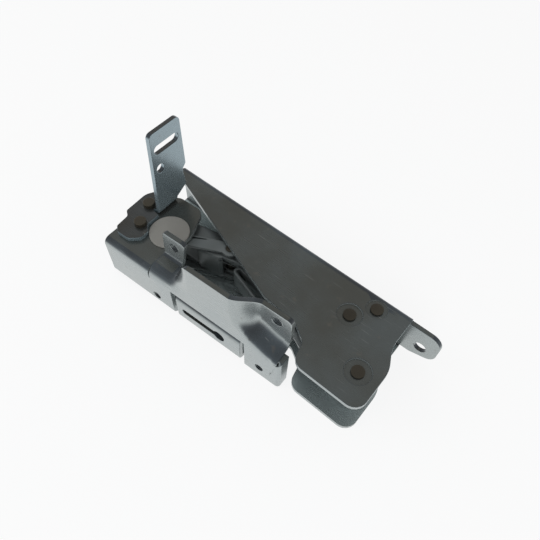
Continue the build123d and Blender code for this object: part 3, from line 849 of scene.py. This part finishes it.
def makePanel(tune):
    obj = addSheet("panelAngle", buildPanelAngle(tune), finishes["panel_plate"], tune["sheet"])
    behind, ahead = (tune["face"] + d for d in tune["tabCut"])
    low, high = (tune["level"] + d for d in tune["pinCut"])
    through = doorPoint(ahead, 0, 0) - doorPoint(behind, 0, 0)
    y, z, length, radius = tune["slot"]
    ends = (doorPoint(behind, y + side * length / 2, z) for side in (-1, 1))
    shapes = [slotMesh(*ends, radius, through)]
    y, z, radius = tune["hole"]
    shapes.append(rodMesh(doorPoint(behind, y, z), doorPoint(ahead, y, z), radius))
    shapes += [rodMesh(doorPoint(x, y, low), doorPoint(x, y, high), r) for x, y, r in tune["pins"]]
    cutShapes(obj, shapes)
    finishEdges(obj, tune["ease"])
    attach(obj, "door_bracket")
    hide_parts("panel_bracket")
    print("hinge: panel bracket folded,", len(obj.data.polygons), "faces")


# the adjusting slide: a folded strip in the bracket's notch, with a lower return and a keyhole slot
foldedSlide = {
    "ends": (40.8, 72.8),
    "columns": 8,
    "face": -51.9,
    "back": -43.0,
    "returnRow": -45.5,
    "low": 0.3,
    "top": 15.4,
    "topRows": 3,
    "foot": 2.5,
    "footSteps": 6,
    "bend": 3.2,
    "bendSteps": 10,
    "sheet": 2.0,
    "slot": (45.2, 60.0, 7.9, 1.5),
    "hole": (62.4, 7.9, 2.7),
    "cut": (-2.0, 4.0),
    "ease": 0.22,
}


def buildFoldedSlide(tune):
    mesh = bmesh.new()
    face, back, low, top = tune["face"], tune["back"], tune["low"], tune["top"]
    foot, bend = tune["foot"], tune["bend"]
    profile = [(back, low), (tune["returnRow"], low)]
    profile += arcRun((face + foot, low + foot), foot, 270.0, 180.0, tune["footSteps"])
    profile += arcRun((face + bend, top - bend), bend, 180.0, 90.0, tune["bendSteps"])
    profile += [(y, top) for y in evenSteps(face + bend, back, tune["topRows"])[1:]]
    columns = []
    for x in evenSteps(*tune["ends"], tune["columns"]):
        columns.append(addColumn(mesh, [doorPoint(x, y, z) for y, z in profile]))
    stripFaces(mesh, columns)
    return sheetMesh("foldedSlide", mesh, Vector((0, -1, 0)))


def makeSlide(tune):
    obj = addSheet("foldedSlide", buildFoldedSlide(tune), finishes["zinc_plate"], tune["sheet"])
    ahead, behind = (tune["face"] + d for d in tune["cut"])
    through = doorPoint(0, behind, 0) - doorPoint(0, ahead, 0)
    first, last, z, radius = tune["slot"]
    shapes = [slotMesh(doorPoint(first, ahead, z), doorPoint(last, ahead, z), radius, through)]
    x, z, radius = tune["hole"]
    shapes.append(rodMesh(doorPoint(x, ahead, z), doorPoint(x, behind, z), radius))
    cutShapes(obj, shapes)
    finishEdges(obj, tune["ease"])
    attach(obj, "adjusting_slide")
    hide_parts("adjusting_slide")
    print("hinge: slide folded,", len(obj.data.polygons), "faces")


# thread turns in the tapped holes of the door bracket
tappedHoles = {
    "holes": (
        (33.8, -41.8, 30.5, 2.3), (83.4, -43.8, 31.4, 2.3), (29.4, -51.75, 5.4, 2.0), (82.1, -51.75, 5.8, 2.0),
    ),
    "turns": 3,
    "pitch": 0.27,
    "rise": 0.1,
    "sides": (36, 6),
}


def buildThreadTurns(sides):
    tree = bpy.data.node_groups.new("threadTurns", "GeometryNodeTree")
    sockets = {
        "Geometry": "NodeSocketGeometry", "Turns": "NodeSocketInt", "Pitch": "NodeSocketFloat",
        "Rise": "NodeSocketFloat", "Turn": "NodeSocketRotation", "Finish": "NodeSocketMaterial",
    }
    for label, kind in sockets.items():
        tree.interface.new_socket(label, in_out="INPUT", socket_type=kind)
    tree.interface.new_socket("Geometry", in_out="OUTPUT", socket_type="NodeSocketGeometry")
    given = tree.nodes.new("NodeGroupInput").outputs
    ring = tree.nodes.new("GeometryNodeCurvePrimitiveCircle")
    crest = tree.nodes.new("GeometryNodeCurvePrimitiveCircle")
    ring.inputs["Resolution"].default_value, crest.inputs["Resolution"].default_value = sides
    ring.inputs["Radius"].default_value = 1.0
    wire(tree, given["Rise"], crest.inputs["Radius"])
    tube = tree.nodes.new("GeometryNodeCurveToMesh")
    wire(tree, ring.outputs["Curve"], tube.inputs["Curve"])
    wire(tree, crest.outputs["Curve"], tube.inputs["Profile Curve"])
    step = tree.nodes.new("ShaderNodeCombineXYZ")
    wire(tree, given["Pitch"], step.inputs["Z"])
    line = tree.nodes.new("GeometryNodeMeshLine")
    wire(tree, given["Turns"], line.inputs["Count"])
    wire(tree, step.outputs[0], line.inputs["Offset"])
    stack = tree.nodes.new("GeometryNodeInstanceOnPoints")
    wire(tree, line.outputs["Mesh"], stack.inputs["Points"])
    wire(tree, tube.outputs["Mesh"], stack.inputs["Instance"])
    size = tree.nodes.new("GeometryNodeInputNamedAttribute")
    size.data_type = "FLOAT"
    size.inputs["Name"].default_value = "holeRadius"
    place = tree.nodes.new("GeometryNodeInstanceOnPoints")
    wire(tree, given["Geometry"], place.inputs["Points"])
    wire(tree, stack.outputs["Instances"], place.inputs["Instance"])
    wire(tree, given["Turn"], place.inputs["Rotation"])
    wire(tree, size.outputs["Attribute"], place.inputs["Scale"])
    real = tree.nodes.new("GeometryNodeRealizeInstances")
    wire(tree, place.outputs["Instances"], real.inputs["Geometry"])
    finish = tree.nodes.new("GeometryNodeSetMaterial")
    wire(tree, real.outputs["Geometry"], finish.inputs["Geometry"])
    wire(tree, given["Finish"], finish.inputs["Material"])
    wire(tree, finish.outputs["Geometry"], tree.nodes.new("NodeGroupOutput").inputs[0])
    return tree


def makeThreads(tune):
    data = bpy.data.meshes.new("tappedHoles")
    data.from_pydata([doorPoint(x, y, z) for x, y, z, _ in tune["holes"]], [], [])
    radius = data.attributes.new("holeRadius", "FLOAT", "POINT")
    radius.data.foreach_set("value", [r * mm for _, _, _, r in tune["holes"]])
    obj = bpy.data.objects.new("tappedHoles", data)
    bpy.context.collection.objects.link(obj)
    group = buildThreadTurns(tune["sides"])
    values = {
        "Turns": tune["turns"],
        "Pitch": tune["pitch"],
        "Rise": tune["rise"],
        "Turn": (doorPoint(0, 1, 0) - doorPoint(0, 0, 0)).to_track_quat("Z", "X").to_euler(),
        "Finish": finishes["zinc_plate"],
    }
    threads = obj.modifiers.new("threads", "NODES")
    threads.node_group = group
    for socket in group.interface.items_tree:
        if socket.in_out == "INPUT" and socket.name in values:
            threads[socket.identifier] = values[socket.name]
    baked = bake(obj)
    baked.shade_smooth()
    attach(obj, "door_bracket")
    print("hinge: threads turned,", len(baked.polygons), "faces")


ownPieces = ("housing", "door_bracket", "panel_bracket", "adjusting_slide")
for name in nodes:
    if name not in ownPieces:
        dressNode(name)
print("hinge: nodes dressed")
makeHousing(foldedHousing)
makeBracket(pressedBracket)
makePanel(panelAngle)
makeSlide(foldedSlide)
makeThreads(tappedHoles)

# floor, light and camera; a lamp is its power, size and place
studio = {
    "floor": (0.86, 0.86, 0.86),
    "floorSize": 6.0,
    "floorLevel": -0.2 * mm,
    "floorRoughness": 0.9,
    "floorSpecular": 0.1,
    "floorGlow": (0.85, 1.0),
    "skyBand": (0.12, 0.6),
    "skyLevels": (1.0, 0.55),
    "lamps": {
        "keyLight": (4.0, 0.5, (0.5, -0.85, 0.55)),
        "fillLight": (2.0, 0.5, (-0.7, -0.45, 0.7)),
    },
    "lampColour": (0.9, 0.96, 1.0),
}


def backgroundRays(tree):
    rays = tree.nodes.new("ShaderNodeLightPath").outputs
    seen = mathNode(tree, "MAXIMUM", rays["Is Camera Ray"], rays["Is Glossy Ray"])
    return mathNode(tree, "MAXIMUM", seen, rays["Is Transmission Ray"])


def buildFloor():
    bpy.ops.mesh.primitive_plane_add(size=studio["floorSize"], location=(0.0, 0.0, studio["floorLevel"]))
    floor = bpy.context.object
    floor.name = "floor"
    material = bpy.data.materials.new("paleFloor")
    material.use_nodes = True
    tree = material.node_tree
    shader = tree.nodes["Principled BSDF"]
    wire(tree, studio["floor"], shader.inputs["Base Color"])
    shader.inputs["Roughness"].default_value = studio["floorRoughness"]
    shader.inputs["Specular IOR Level"].default_value = studio["floorSpecular"]
    glow = tree.nodes.new("ShaderNodeEmission")
    blend = tree.nodes.new("ShaderNodeMixShader")
    share, glow.inputs["Strength"].default_value = studio["floorGlow"]
    wire(tree, times(tree, backgroundRays(tree), share), blend.inputs[0])
    wire(tree, shader.outputs[0], blend.inputs[1])
    wire(tree, glow.outputs[0], blend.inputs[2])
    wire(tree, blend.outputs[0], tree.nodes["Material Output"].inputs["Surface"])
    floor.data.materials.append(material)


# a plain sky, white at the horizon and softer overhead
def buildWorld():
    world = bpy.data.worlds.new("studio")
    bpy.context.scene.world = world
    world.use_nodes = True
    tree = world.node_tree
    rise = splitNode(tree, tree.nodes.new("ShaderNodeTexCoord").outputs["Generated"])["Z"]
    back = tree.nodes["Background"]
    wire(tree, (1.0, 1.0, 1.0), back.inputs["Color"])
    wire(tree, rangeNode(tree, rise, *studio["skyBand"], *studio["skyLevels"]), back.inputs["Strength"])


def buildLamp(name, energy, size, spot):
    data = bpy.data.lights.new(name, "AREA")
    data.energy = energy
    data.size = size
    data.color = studio["lampColour"]
    lamp = bpy.data.objects.new(name, data)
    bpy.context.collection.objects.link(lamp)
    lamp.location = spot
    lamp.visible_glossy = False
    lamp.rotation_euler = (-Vector(spot)).to_track_quat("-Z", "Y").to_euler()


# the camera as fitted to the photo: focal length and picture in pixels, place in metres, three axes
photoView = {
    "focal": 489.7,
    "picture": 540.0,
    "sensor": 36.0,
    "clipStart": 0.01,
    "place": (0.07286, -0.08387, 0.17793),
    "right": (0.764753, 0.643602, 0.030498),
    "down": (0.540723, -0.615329, -0.573575),
    "ahead": (-0.350388, 0.455134, -0.818585),
}


def buildCamera(tune):
    data = bpy.data.cameras.new("photoView")
    data.sensor_width = tune["sensor"]
    data.lens = tune["focal"] / tune["picture"] * tune["sensor"]
    data.clip_start = tune["clipStart"]
    camera = bpy.data.objects.new("photoView", data)
    bpy.context.collection.objects.link(camera)
    right, down, ahead = (Vector(tune[axis]) for axis in ("right", "down", "ahead"))
    turn = Matrix((right, -down, -ahead)).transposed()
    camera.matrix_world = Matrix.Translation(tune["place"]) @ turn.to_4x4()
    bpy.context.scene.camera = camera


buildFloor()
buildWorld()
for name, lamp in studio["lamps"].items():
    buildLamp(name, *lamp)
buildCamera(photoView)
bpy.context.scene.view_settings.view_transform = "Standard"
print("hinge: studio ready")
